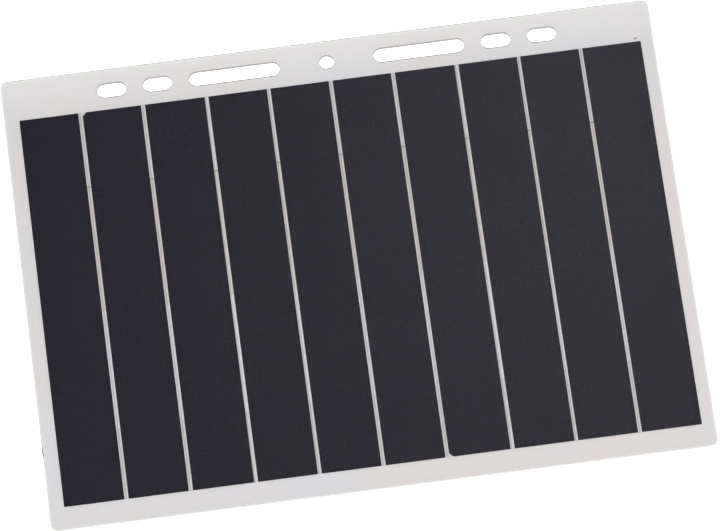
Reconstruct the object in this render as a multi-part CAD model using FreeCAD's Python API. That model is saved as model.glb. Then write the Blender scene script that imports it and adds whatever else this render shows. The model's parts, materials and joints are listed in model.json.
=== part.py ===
import FreeCAD, Part
import os

# Flexible solar sheet: ten back-contact cell strips laminated between a clear front film and a
# white back sheet, with a strap row along the top edge and a small output box bonded behind.
#
# Frame: +X along the long edge, +Y towards the strap row, +Z out of the cell face. The origin is
# on the surface the sheet lies on, under the middle of its outline.

Vec = FreeCAD.Vector
UP = Vec(0, 0, 1)

# ---- Driving dimensions, millimetres ---------------------------------------------------------

# Outline and strap row
SHEET_LENGTH = 249.2
SHEET_WIDTH = 184.6
CORNER_RADIUS = 3.0
STRAP_LINE_INSET = 8.9  # top edge down to the line through every slot
STRAP_SLOT_WIDTH = 5.9
LONG_SLOT_LENGTH = 34.8
LONG_SLOT_X = 35.4
SHORT_SLOT_LENGTH = 11.2
SHORT_SLOT_X = (64.9, 82.6)
HANG_HOLE_RADIUS = 2.8

# Cell strips, each a seventh of a 158.75 mm wafer
CELL_COUNT = 10
CELL_PITCH = 24.0
CELL_WIDTH = 22.4
CELL_LENGTH = 158.75
CELL_ARRAY_X = 0.4  # the strips sit this far off the middle of the sheet
CELL_TOP_INSET = 16.9  # top edge of the sheet down to the top of the cells
WAFER_CHAMFER = 1.5
CHAMFERED_CELL_TOP = 2  # these two strips keep one chamfered wafer corner each
CHAMFERED_CELL_BOTTOM = 7

# Layers, from the back
BOX_DEPTH = 13.0  # resting surface up to the back sheet
BACK_SHEET = 0.8
REAR_ENCAPSULANT = 0.3
CELL_THICKNESS = 0.15
FRONT_ENCAPSULANT = 0.3
FRONT_FILM = 0.15

# Fold lines: the laminate bends in the gaps between strips, and the layers part there
FOLDS_PER_SIDE = 4
FOLD_CLEARANCE = 0.3

# Conductors
FOIL_THICKNESS = 0.1
FOIL_UNDER_CELL = 2.2
FOIL_BREAKS = (0.0, 0.034, 0.195, 0.52, 0.82, 0.963, 1.0)  # shares of the cell length, from the top
FOIL_BREAK_WIDTH = 0.3
BUS_WIDTH = 4.0
BUS_Y = 12.0
BUS_INNER_X = 4.0
LEAD_X = 6.0
LEAD_WIDTH = 3.6
LEAD_THICKNESS = 0.3
LEAD_SLOT_CLEARANCE = 0.2

# Output box
BOX_WIDTH = 44.0
BOX_LENGTH = 60.0
BOX_CENTRE_Y = 6.0
BOX_CORNER = 4.0
BOX_WALL = 1.6
BOX_EDGE_ROUND = 1.2
COVER_HEIGHT = 10.0
BASE_PLATE = 2.0
LIP_HEIGHT = 1.0
LIP_WIDTH = 1.0
LIP_CLEARANCE = 0.15
PAD_INSET = 2.0
SCREW_INSET = 4.0
BOSS_RADIUS = 2.6
SCREW_RADIUS = 1.0
SCREW_HEAD_RADIUS = 1.9
SCREW_HEAD_HEIGHT = 1.4
SCREW_HEAD_SINK = 0.2
SCREW_LENGTH = 10.0
SCREW_CROSS_WIDTH = 0.5
SCREW_CROSS_DEPTH = 0.7

# Circuit board and its parts
BOARD_THICKNESS = 1.2
BOARD_HALF_WIDTH = 15.0
BOARD_LENGTH = 40.0
BOARD_END_GAP = 2.0  # outer face of the socket wall in to the board's edge
POST_RADIUS = 1.8
PEG_RADIUS = 0.9
POST_INSET = 3.0
SOCKET_X = -5.0
SOCKET_WIDTH = 13.1
SOCKET_HEIGHT = 5.7
SOCKET_DEPTH = 14.0
SOCKET_WALL = 0.3
SOCKET_RECESS = 0.3
SOCKET_FLOOR_Z = 2.0
TONGUE_WIDTH = 11.1
TONGUE_THICKNESS = 1.84
TONGUE_LENGTH = 8.9
TONGUE_GAP = 0.7  # shell wall to the tongue's blank side
CONTACT_WIDTHS = ((-3.5, 1.0), (-1.0, 1.0), (1.0, 1.0), (3.5, 1.0))
CONTACT_THICKNESS = 0.12
LED_X = 10.0
LED_RADIUS = 1.5
LED_PROUD = 0.3

# ---- Worked-out levels and lines -------------------------------------------------------------

TOP_Y = SHEET_WIDTH / 2
STRAP_Y = TOP_Y - STRAP_LINE_INSET
CELL_TOP_Y = TOP_Y - CELL_TOP_INSET
CELL_BOTTOM_Y = CELL_TOP_Y - CELL_LENGTH

BACK_Z = BOX_DEPTH
REAR_ENCAPSULANT_Z = BACK_Z + BACK_SHEET
CELL_Z = REAR_ENCAPSULANT_Z + REAR_ENCAPSULANT
FILM_Z = CELL_Z + CELL_THICKNESS + FRONT_ENCAPSULANT
FACE_Z = FILM_Z + FRONT_FILM
FOIL_Z = CELL_Z - FOIL_THICKNESS

BOX_X = BOX_WIDTH / 2
BOX_Y0 = BOX_CENTRE_Y - BOX_LENGTH / 2
BOX_Y1 = BOX_CENTRE_Y + BOX_LENGTH / 2
BASE_Z = COVER_HEIGHT
PAD_Z = BASE_Z + BASE_PLATE
BOARD_Z = SOCKET_FLOOR_Z + SOCKET_HEIGHT
BOARD_TOP_Z = BOARD_Z + BOARD_THICKNESS
BOARD_Y0 = BOX_Y0 + BOARD_END_GAP
BOARD_Y1 = BOARD_Y0 + BOARD_LENGTH
SCREW_PLACES = [
    (side * (BOX_X - SCREW_INSET), y)
    for side in (-1, 1)
    for y in (BOX_Y0 + SCREW_INSET, BOX_Y1 - SCREW_INSET)
]
POST_PLACES = [
    (-BOARD_HALF_WIDTH + POST_INSET, BOARD_Y1 - POST_INSET),
    (BOARD_HALF_WIDTH - POST_INSET, BOARD_Y1 - POST_INSET),
    (BOARD_HALF_WIDTH - POST_INSET, BOARD_Y0 + BOARD_LENGTH / 2),
]


# ---- Plain shapes ----------------------------------------------------------------------------


def block(x0, x1, y0, y1, z0, z1):
    """Upright block between two corners."""
    return Part.makeBox(x1 - x0, y1 - y0, z1 - z0, Vec(x0, y0, z0))


def rounded_block(x0, x1, y0, y1, z0, z1, radius):
    """Block with rounded vertical edges. A radius of half its width makes a round-ended slot."""
    corners = (
        (x1 - radius, y0 + radius, -90),
        (x1 - radius, y1 - radius, 0),
        (x0 + radius, y1 - radius, 90),
        (x0 + radius, y0 + radius, 180),
    )
    arcs = [
        Part.makeCircle(radius, Vec(x, y, z0), UP, start, start + 90)
        for x, y, start in corners
    ]
    edges = []
    for arc, following in zip(arcs, arcs[1:] + arcs[:1]):
        edges.append(arc)
        end = arc.valueAt(arc.LastParameter)
        begin = following.valueAt(following.FirstParameter)
        if end.distanceToPoint(begin) > 1e-6:
            edges.append(Part.makeLine(end, begin))
    prism = Part.Face(Part.Wire(edges)).extrude(Vec(0, 0, z1 - z0))
    return prism.removeSplitter()


def rod(x, y, z0, z1, radius):
    """Upright cylinder."""
    return Part.makeCylinder(radius, z1 - z0, Vec(x, y, z0))


def fused(shapes):
    """One solid from shapes that touch or overlap."""
    return shapes[0].multiFuse(shapes[1:]).removeSplitter()


def grouped(shapes):
    """Separate solids kept in one node."""
    return Part.makeCompound([solid for shape in shapes for solid in shape.Solids])


# ---- Laminate --------------------------------------------------------------------------------


def cell_x(number):
    """Centre line of a strip, counted from 1 at the -X end."""
    return CELL_ARRAY_X + (number - (CELL_COUNT + 1) / 2) * CELL_PITCH


def zones():
    """The stretches between fold lines: (label, strip numbers, low X, high X)."""
    half = FOLD_CLEARANCE / 2
    steps = [step for step in range(-FOLDS_PER_SIDE, FOLDS_PER_SIDE + 1) if step]
    folds = [CELL_ARRAY_X + step * CELL_PITCH for step in steps]
    edges = [-SHEET_LENGTH / 2] + folds + [SHEET_LENGTH / 2]
    found = []
    for low, high in zip(edges, edges[1:]):
        strips = [n for n in range(1, CELL_COUNT + 1) if low < cell_x(n) < high]
        label = "middle" if len(strips) > 1 else f"{strips[0]:02d}"
        x0 = low if low == edges[0] else low + half
        x1 = high if high == edges[-1] else high - half
        found.append((label, strips, x0, x1))
    return found


def strap_cutters():
    """What is punched out of the top border: two long slots, four short ones and a round hole."""
    z0, z1 = BACK_Z - 1, FACE_Z + 1
    half_width = STRAP_SLOT_WIDTH / 2
    slots = [(LONG_SLOT_X, LONG_SLOT_LENGTH)] + [(x, SHORT_SLOT_LENGTH) for x in SHORT_SLOT_X]
    cutters = [rod(0, STRAP_Y, z0, z1, HANG_HOLE_RADIUS)]
    for side in (-1, 1):
        for x, length in slots:
            x0, x1 = side * x - length / 2, side * x + length / 2
            y0, y1 = STRAP_Y - half_width, STRAP_Y + half_width
            cutters.append(rounded_block(x0, x1, y0, y1, z0, z1, half_width))
    return cutters


def layer(z0, z1):
    """One full layer of the laminate, with rounded corners and the strap row punched out."""
    x, y = SHEET_LENGTH / 2, SHEET_WIDTH / 2
    return rounded_block(-x, x, -y, y, z0, z1, CORNER_RADIUS).cut(strap_cutters())


def within(shape, x0, x1):
    """The part of a layer between two fold lines."""
    return shape.common(block(x0, x1, -SHEET_WIDTH, SHEET_WIDTH, 0, FACE_Z + 1))


def cell(number):
    """One silicon strip. Two of the strips keep a chamfered corner of the wafer."""
    x = cell_x(number)
    x0, x1 = x - CELL_WIDTH / 2, x + CELL_WIDTH / 2
    points = [Vec(x1, CELL_TOP_Y, CELL_Z), Vec(x1, CELL_BOTTOM_Y, CELL_Z)]
    if number == CHAMFERED_CELL_BOTTOM:
        points.append(Vec(x0 + WAFER_CHAMFER, CELL_BOTTOM_Y, CELL_Z))
        points.append(Vec(x0, CELL_BOTTOM_Y + WAFER_CHAMFER, CELL_Z))
    else:
        points.append(Vec(x0, CELL_BOTTOM_Y, CELL_Z))
    if number == CHAMFERED_CELL_TOP:
        points.append(Vec(x0, CELL_TOP_Y - WAFER_CHAMFER, CELL_Z))
        points.append(Vec(x0 + WAFER_CHAMFER, CELL_TOP_Y, CELL_Z))
    else:
        points.append(Vec(x0, CELL_TOP_Y, CELL_Z))
    outline = Part.makePolygon(points + points[:1])
    return Part.Face(outline).extrude(Vec(0, 0, CELL_THICKNESS))


def foil_run(x0, x1):
    """Interconnect foil under a strip's edge, in lengths with a narrow break between them."""
    pieces = []
    for high, low in zip(FOIL_BREAKS, FOIL_BREAKS[1:]):
        y1 = CELL_TOP_Y - high * CELL_LENGTH - FOIL_BREAK_WIDTH / 2
        y0 = CELL_TOP_Y - low * CELL_LENGTH + FOIL_BREAK_WIDTH / 2
        pieces.append(block(x0, x1, y0, y1, FOIL_Z, CELL_Z))
    return pieces


def conductors(strips, x0, x1):
    """Foils and bus ribbon of one zone. The bus runs behind the cells to the box's two leads."""
    half = CELL_WIDTH / 2
    inner = half - FOIL_UNDER_CELL
    first, last = strips[0], strips[-1]
    foils = []
    foils += foil_run(max(x0, cell_x(first) - half), cell_x(first) - inner)
    foils += foil_run(cell_x(last) + inner, min(x1, cell_x(last) + half))
    for left, right in zip(strips, strips[1:]):
        foils += foil_run(cell_x(left) + inner, cell_x(right) - inner)

    y0, y1 = BUS_Y - BUS_WIDTH / 2, BUS_Y + BUS_WIDTH / 2
    bus_z1 = REAR_ENCAPSULANT_Z + FOIL_THICKNESS
    if len(strips) > 1:
        runs = [(x0, -BUS_INNER_X), (BUS_INNER_X, x1)]
        buses = [block(low, high, y0, y1, REAR_ENCAPSULANT_Z, bus_z1) for low, high in runs]
        return grouped(foils + buses)
    low = max(x0, cell_x(1) - half)
    high = min(x1, cell_x(CELL_COUNT) + half)
    bus = block(low, high, y0, y1, REAR_ENCAPSULANT_Z, bus_z1)
    if first not in (1, CELL_COUNT):
        return grouped(foils + [bus])
    end = low if first == 1 else high - FOIL_UNDER_CELL
    riser = block(end, end + FOIL_UNDER_CELL, y0, y1, bus_z1, FOIL_Z)
    joined = [f for f in foils if f.distToShape(riser)[0] < 1e-6]
    loose = [f for f in foils if f.distToShape(riser)[0] >= 1e-6]
    return grouped(loose + [fused([bus, riser] + joined)])


def lead_slots(z0, z1):
    """Openings that the two leads pass through, from the laminate into the box."""
    x = LEAD_WIDTH / 2 + LEAD_SLOT_CLEARANCE
    y = LEAD_THICKNESS / 2 + LEAD_SLOT_CLEARANCE
    return [
        block(side * LEAD_X - x, side * LEAD_X + x, BUS_Y - y, BUS_Y + y, z0, z1)
        for side in (-1, 1)
    ]


def laminate():
    """Every node of the laminate, by name."""
    film = layer(FILM_Z, FACE_Z)
    front = layer(CELL_Z, FILM_Z)
    rear = layer(REAR_ENCAPSULANT_Z, CELL_Z)
    back = layer(BACK_Z, REAR_ENCAPSULANT_Z).cut(lead_slots(BACK_Z, REAR_ENCAPSULANT_Z))
    nodes = {}
    for label, strips, x0, x1 in zones():
        cells = {number: cell(number) for number in strips}
        ribbons = conductors(strips, x0, x1)
        front_part = within(front, x0, x1).cut(list(cells.values()))
        rear_part = within(rear, x0, x1).cut(ribbons)
        nodes[f"front_film_{label}"] = within(film, x0, x1)
        nodes[f"encapsulant_{label}"] = grouped([front_part, rear_part])
        nodes[f"back_sheet_{label}"] = within(back, x0, x1)
        nodes[f"ribbons_{label}"] = ribbons
        for number, solid in cells.items():
            nodes[f"cell_{number:02d}"] = solid
    return nodes


# ---- Output box ------------------------------------------------------------------------------


def box_block(inset, z0, z1):
    """The box's rounded outline, taken in by an inset."""
    radius = max(BOX_CORNER - inset, 0.5)
    x = BOX_X - inset
    return rounded_block(-x, x, BOX_Y0 + inset, BOX_Y1 - inset, z0, z1, radius)


def box_cover():
    """Tray that closes the box, with screw bosses, the socket mouth and the lamp hole."""
    outer = box_block(0, 0, COVER_HEIGHT)
    lower_edges = [e for e in outer.Edges if e.BoundBox.ZMax < 1e-6]
    outer = outer.makeFillet(BOX_EDGE_ROUND, lower_edges)
    tray = outer.cut(box_block(BOX_WALL, BOX_WALL, COVER_HEIGHT + 1))
    bosses = [rod(x, y, BOX_WALL / 2, COVER_HEIGHT - LIP_HEIGHT, BOSS_RADIUS) for x, y in SCREW_PLACES]
    cover = fused([tray] + [boss.common(outer) for boss in bosses])
    head_room = SCREW_HEAD_SINK + SCREW_HEAD_HEIGHT
    cutters = []
    for x, y in SCREW_PLACES:
        cutters.append(rod(x, y, -1, head_room, SCREW_HEAD_RADIUS + 0.1))
        cutters.append(rod(x, y, 0, COVER_HEIGHT, SCREW_RADIUS + 0.15))
    gap = 0.15
    half = SOCKET_WIDTH / 2 + gap
    cutters.append(
        rounded_mouth(SOCKET_X - half, SOCKET_X + half, SOCKET_FLOOR_Z - gap, BOARD_Z + gap, 0.6)
    )
    cutters.append(lamp_rod(BOX_Y0 - 1, BOX_Y0 + BOX_WALL + 1, LED_RADIUS + 0.05))
    return cover.cut(cutters)


def rounded_mouth(x0, x1, z0, z1, radius):
    """Rounded opening through the wall that holds the socket."""
    mouth = block(x0, x1, BOX_Y0 - 1, BOX_Y0 + BOX_WALL + 1, z0, z1)
    along_y = [e for e in mouth.Edges if e.BoundBox.YLength > BOX_WALL]
    return mouth.makeFillet(radius, along_y)


def lamp_rod(y0, y1, radius):
    """Cylinder along the lamp's line, which runs through the socket wall."""
    z = SOCKET_FLOOR_Z + SOCKET_HEIGHT / 2
    return Part.makeCylinder(radius, y1 - y0, Vec(LED_X, y0, z), Vec(0, 1, 0))


def box_base():
    """Plate bonded to the sheet, with a lip inside the cover and posts for the circuit board."""
    plate = box_block(0, BASE_Z, PAD_Z)
    outside = BOX_WALL + LIP_CLEARANCE
    lip = box_block(outside, BASE_Z - LIP_HEIGHT, BASE_Z)
    lip = lip.cut(box_block(outside + LIP_WIDTH, BASE_Z - LIP_HEIGHT, BASE_Z))
    posts = [rod(x, y, BOARD_TOP_Z, BASE_Z, POST_RADIUS) for x, y in POST_PLACES]
    pegs = [rod(x, y, BOARD_Z - 0.4, BOARD_TOP_Z, PEG_RADIUS) for x, y in POST_PLACES]
    base = fused([plate, lip] + posts + pegs)
    screw_top = SCREW_HEAD_SINK + SCREW_LENGTH + SCREW_HEAD_HEIGHT
    pilots = [rod(x, y, BASE_Z - LIP_HEIGHT, screw_top, SCREW_RADIUS + 0.02) for x, y in SCREW_PLACES]
    return base.cut(pilots + lead_slots(BASE_Z - 1, PAD_Z))


def adhesive_pad():
    """Foam tape between the box and the sheet."""
    return box_block(PAD_INSET, PAD_Z, BACK_Z).cut(lead_slots(PAD_Z, BACK_Z))


def cover_screws():
    """Four pan-head screws with a cross recess, driven from behind."""
    screws = []
    for x, y in SCREW_PLACES:
        head_z = SCREW_HEAD_SINK
        shank_z = head_z + SCREW_HEAD_HEIGHT
        head = rod(x, y, head_z, shank_z, SCREW_HEAD_RADIUS)
        shank = rod(x, y, shank_z, shank_z + SCREW_LENGTH - 0.4, SCREW_RADIUS)
        arm, half = SCREW_HEAD_RADIUS * 0.65, SCREW_CROSS_WIDTH / 2
        cross = [
            block(x - arm, x + arm, y - half, y + half, head_z, head_z + SCREW_CROSS_DEPTH),
            block(x - half, x + half, y - arm, y + arm, head_z, head_z + SCREW_CROSS_DEPTH),
        ]
        screws.append(fused([head, shank]).cut(cross))
    return grouped(screws)


def circuit_board():
    """Converter board, held on the base plate's pegs."""
    x = BOARD_HALF_WIDTH
    board = rounded_block(-x, x, BOARD_Y0, BOARD_Y1, BOARD_Z, BOARD_TOP_Z, 1.0)
    return board.cut([rod(px, py, BOARD_Z, BOARD_TOP_Z, PEG_RADIUS + 0.05) for px, py in POST_PLACES])


def socket_span():
    """Low and high Y of the socket's shell."""
    y0 = BOX_Y0 + SOCKET_RECESS
    return y0, y0 + SOCKET_DEPTH


def socket_shell():
    """Folded metal shell of the output socket, open towards -Y."""
    y0, y1 = socket_span()
    x0, x1 = SOCKET_X - SOCKET_WIDTH / 2, SOCKET_X + SOCKET_WIDTH / 2
    shell = block(x0, x1, y0, y1, SOCKET_FLOOR_Z, BOARD_Z)
    along_y = [e for e in shell.Edges if e.BoundBox.YLength > SOCKET_WIDTH - 1 and e.BoundBox.XLength < 1e-6]
    shell = shell.makeFillet(0.5, along_y)
    wall = SOCKET_WALL
    inside = block(x0 + wall, x1 - wall, y0 - 1, y1 - wall, SOCKET_FLOOR_Z + wall, BOARD_Z - wall)
    return shell.cut(inside)


def tongue_levels():
    """Low and high Z of the socket's tongue."""
    z0 = SOCKET_FLOOR_Z + SOCKET_WALL + TONGUE_GAP
    return z0, z0 + TONGUE_THICKNESS


def socket_tongue():
    """Moulded insert of the socket: a block at the back and the tongue that holds the contacts."""
    y1 = socket_span()[1] - SOCKET_WALL
    tongue_y0 = socket_span()[0] + 0.6
    z0, z1 = tongue_levels()
    x = SOCKET_WIDTH / 2 - SOCKET_WALL
    back = block(
        SOCKET_X - x, SOCKET_X + x, tongue_y0 + TONGUE_LENGTH, y1,
        SOCKET_FLOOR_Z + SOCKET_WALL, BOARD_Z - SOCKET_WALL,
    )
    half = TONGUE_WIDTH / 2
    tongue = block(SOCKET_X - half, SOCKET_X + half, tongue_y0, tongue_y0 + TONGUE_LENGTH, z0, z1)
    return fused([back, tongue])


def socket_contacts():
    """Four plated contacts along the tongue."""
    y0 = socket_span()[0] + 1.2
    z0 = tongue_levels()[1]
    return grouped([
        block(
            SOCKET_X + x - width / 2, SOCKET_X + x + width / 2, y0, y0 + TONGUE_LENGTH - 0.6,
            z0, z0 + CONTACT_THICKNESS,
        )
        for x, width in CONTACT_WIDTHS
    ])


def chip_legs(x, y, body_half, count, pitch):
    """Gull-wing legs on both sides of a chip that sits under the board."""
    legs = []
    for side in (-1, 1):
        for i in range(count):
            leg_y = y + (i - (count - 1) / 2) * pitch
            x0, x1 = sorted((x + side * body_half, x + side * (body_half + 1.0)))
            legs.append(block(x0, x1, leg_y - 0.2, leg_y + 0.2, BOARD_Z - 0.2, BOARD_Z))
    return legs


def regulator_chip():
    """Eight-leg converter chip."""
    x, y = 6.5, BOARD_Y0 + 17.0
    body = block(x - 2.0, x + 2.0, y - 2.5, y + 2.5, BOARD_Z - 1.6, BOARD_Z - 0.1)
    return grouped([fused([body] + chip_legs(x, y, 2.0, 4, 1.27))])


def power_inductor():
    """Shielded inductor: a ferrite block with a wound round middle."""
    x, y, half = 8.0, BOARD_Y0 + 9.5, 3.5
    block_part = rounded_block(x - half, x + half, y - half, y + half, BOARD_Z - 4.0, BOARD_Z, 1.0)
    groove = rod(x, y, BOARD_Z - 4.0, BOARD_Z - 3.6, 2.9).cut(rod(x, y, BOARD_Z - 4.0, BOARD_Z - 3.6, 2.2))
    return block_part.cut(groove)


def capacitors():
    """Two aluminium cans and four ceramic blocks under the board."""
    cans = []
    for x in (-9.5, -1.5):
        y = BOARD_Y0 + 20.0
        foot = rounded_block(x - 3.3, x + 3.3, y - 3.3, y + 3.3, BOARD_Z - 0.8, BOARD_Z, 0.8)
        can = rod(x, y, BOARD_Z - 5.3, BOARD_Z - 0.8, 3.1)
        cans.append(fused([foot, can]))
    chips = []
    for i in range(4):
        x, y = -10.0 + i * 4.0, BOARD_Y0 + 26.5
        chips.append(block(x - 0.8, x + 0.8, y - 1.6, y + 1.6, BOARD_Z - 1.3, BOARD_Z))
    return grouped(cans + chips)


def blocking_diode():
    """Diode that stops a charged battery from feeding the cells at night."""
    x, y = 8.5, BOARD_Y0 + 25.0
    body = block(x - 2.2, x + 2.2, y - 1.3, y + 1.3, BOARD_Z - 2.3, BOARD_Z - 0.1)
    tabs = [
        block(*sorted((x + side * 2.2, x + side * 2.9)), y - 0.7, y + 0.7, BOARD_Z - 0.3, BOARD_Z)
        for side in (-1, 1)
    ]
    return fused([body] + tabs)


def status_lamp():
    """Round indicator lamp through the socket wall, with two legs up to the board."""
    tip_y = BOX_Y0 - LED_PROUD
    back_y = BOX_Y0 + 5.0
    z = SOCKET_FLOOR_Z + SOCKET_HEIGHT / 2
    body = lamp_rod(tip_y + LED_RADIUS, back_y, LED_RADIUS)
    dome = Part.makeSphere(LED_RADIUS, Vec(LED_X, tip_y + LED_RADIUS, z))
    legs = [
        block(LED_X + side * 0.6 - 0.2, LED_X + side * 0.6 + 0.2, back_y - 0.9, back_y - 0.5, z, BOARD_Z)
        for side in (-1, 1)
    ]
    return fused([body, dome] + legs)


def output_leads():
    """Two flat leads from the bus ribbons down to the circuit board."""
    x, y = LEAD_WIDTH / 2, LEAD_THICKNESS / 2
    return grouped([
        block(
            side * LEAD_X - x, side * LEAD_X + x, BUS_Y - y, BUS_Y + y,
            BOARD_TOP_Z, REAR_ENCAPSULANT_Z,
        )
        for side in (-1, 1)
    ])


def output_box():
    """Every node of the output box, by name."""
    return {
        "box_pad": adhesive_pad(),
        "box_base": box_base(),
        "box_cover": box_cover(),
        "box_screws": cover_screws(),
        "circuit_board": circuit_board(),
        "socket_shell": socket_shell(),
        "socket_tongue": socket_tongue(),
        "socket_contacts": socket_contacts(),
        "power_inductor": power_inductor(),
        "regulator_chip": regulator_chip(),
        "capacitors": capacitors(),
        "blocking_diode": blocking_diode(),
        "status_lamp": status_lamp(),
        "output_leads": output_leads(),
    }


def main():
    os.makedirs("parts", exist_ok=True)
    nodes = laminate()
    nodes.update(output_box())
    for name, shape in sorted(nodes.items()):
        shape.exportStep(f"parts/{name}.step")
        valid = "" if shape.isValid() else "  NOT VALID"
        print(f"{name}: {len(shape.Solids)} solids, {shape.Volume:.1f} mm3{valid}")
    print(len(nodes), "nodes, face at", round(FACE_Z, 3))


main()
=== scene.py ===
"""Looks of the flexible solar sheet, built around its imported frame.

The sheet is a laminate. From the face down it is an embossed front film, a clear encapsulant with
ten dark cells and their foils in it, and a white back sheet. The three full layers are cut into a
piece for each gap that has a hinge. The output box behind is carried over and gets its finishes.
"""
import json
import logging
import math
from dataclasses import dataclass, field
from enum import Enum
from typing import Any, Iterable, Sequence

import bmesh
import bpy
from mathutils import Matrix, Vector

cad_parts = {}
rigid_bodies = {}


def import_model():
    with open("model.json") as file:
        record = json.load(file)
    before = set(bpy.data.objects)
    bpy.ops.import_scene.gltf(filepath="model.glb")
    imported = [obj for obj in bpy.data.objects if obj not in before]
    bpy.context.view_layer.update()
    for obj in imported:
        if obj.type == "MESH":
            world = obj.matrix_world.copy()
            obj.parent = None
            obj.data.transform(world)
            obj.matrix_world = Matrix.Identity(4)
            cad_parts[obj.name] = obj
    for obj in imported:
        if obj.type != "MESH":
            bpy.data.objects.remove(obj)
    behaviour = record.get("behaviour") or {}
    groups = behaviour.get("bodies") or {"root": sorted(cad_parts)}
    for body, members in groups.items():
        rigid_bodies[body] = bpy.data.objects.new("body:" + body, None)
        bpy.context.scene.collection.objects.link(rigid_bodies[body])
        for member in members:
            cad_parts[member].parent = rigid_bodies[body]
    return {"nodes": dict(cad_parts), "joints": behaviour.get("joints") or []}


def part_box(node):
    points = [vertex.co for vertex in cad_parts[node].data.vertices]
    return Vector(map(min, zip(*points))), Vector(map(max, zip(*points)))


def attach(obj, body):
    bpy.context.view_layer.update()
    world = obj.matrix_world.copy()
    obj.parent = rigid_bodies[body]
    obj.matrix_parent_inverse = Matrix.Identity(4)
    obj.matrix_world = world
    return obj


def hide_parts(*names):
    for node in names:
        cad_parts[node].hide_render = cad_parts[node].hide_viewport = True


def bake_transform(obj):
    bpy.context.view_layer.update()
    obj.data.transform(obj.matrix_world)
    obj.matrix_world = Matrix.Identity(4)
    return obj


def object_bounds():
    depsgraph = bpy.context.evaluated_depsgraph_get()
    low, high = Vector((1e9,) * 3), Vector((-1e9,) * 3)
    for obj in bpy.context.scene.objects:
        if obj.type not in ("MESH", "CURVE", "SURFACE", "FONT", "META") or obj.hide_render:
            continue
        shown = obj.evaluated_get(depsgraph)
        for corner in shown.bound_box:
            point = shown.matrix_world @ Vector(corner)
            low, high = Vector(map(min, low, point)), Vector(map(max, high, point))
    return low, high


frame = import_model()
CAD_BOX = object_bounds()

LOG = logging.getLogger("solar_sheet")
MM = 0.001
WHITE = (1.0, 1.0, 1.0, 1.0)
TOUCHING = 1e-7  # points closer than this, in metres, are one point
Ring = list[tuple[float, float]]
Socket = bpy.types.NodeSocket
Tree = bpy.types.NodeTree


# ---- Helpers -----------------------------------------------------------------------------------


def linear(colour: str) -> tuple[float, float, float, float]:
    """Turns an sRGB colour into the linear one that shaders take.

    Args:
        colour: Six hex digits after a hash.

    Returns:
        Red, green, blue and an alpha of 1.
    """
    parts = [int(colour[i:i + 2], 16) / 255 for i in (1, 3, 5)]
    red, green, blue = (p / 12.92 if p <= 0.04045 else ((p + 0.055) / 1.055) ** 2.4 for p in parts)
    return red, green, blue, 1.0


def add_node(
    tree: Tree, kind: str, inputs: dict[Any, Any] | None = None, **settings: Any
) -> bpy.types.Node:
    """Adds one node, with its settings, its input values and the links into it.

    Args:
        tree: The node tree to add to.
        kind: Blender's name of the node type.
        inputs: Input name or number, and a value or the output socket that feeds it.
        **settings: Properties of the node itself.

    Returns:
        The new node.
    """
    node = tree.nodes.new(kind)
    for name, value in settings.items():
        setattr(node, name, value)
    for key, value in (inputs or {}).items():
        if isinstance(value, Socket):
            tree.links.new(value, node.inputs[key])
        else:
            node.inputs[key].default_value = value
    return node


# ---- Finishes ----------------------------------------------------------------------------------


@dataclass(frozen=True)
class Finish:
    """A finish that any piece can wear. Each kind of finish lays its own nodes in surface()."""

    name: str

    def material(self) -> bpy.types.Material:
        """Gives the Blender material of this finish, made on its first use.

        Returns:
            The material.
        """
        found = bpy.data.materials.get(self.name)
        if found:
            return found
        made = bpy.data.materials.new(self.name)
        made.use_nodes = True
        tree = made.node_tree
        tree.nodes.clear()
        add_node(tree, "ShaderNodeOutputMaterial", {"Surface": self.surface(tree)})
        return made

    def surface(self, tree: Tree) -> Socket:
        """Lays the nodes and gives the shader's output."""
        raise NotImplementedError

    def dress(self, *objects: bpy.types.Object) -> None:
        """Puts this finish on every material slot of the objects.

        Args:
            *objects: The pieces that wear it.
        """
        for thing in objects:
            if not thing.material_slots:
                thing.data.materials.append(self.material())
            for place in thing.material_slots:
                place.material = self.material()


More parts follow.
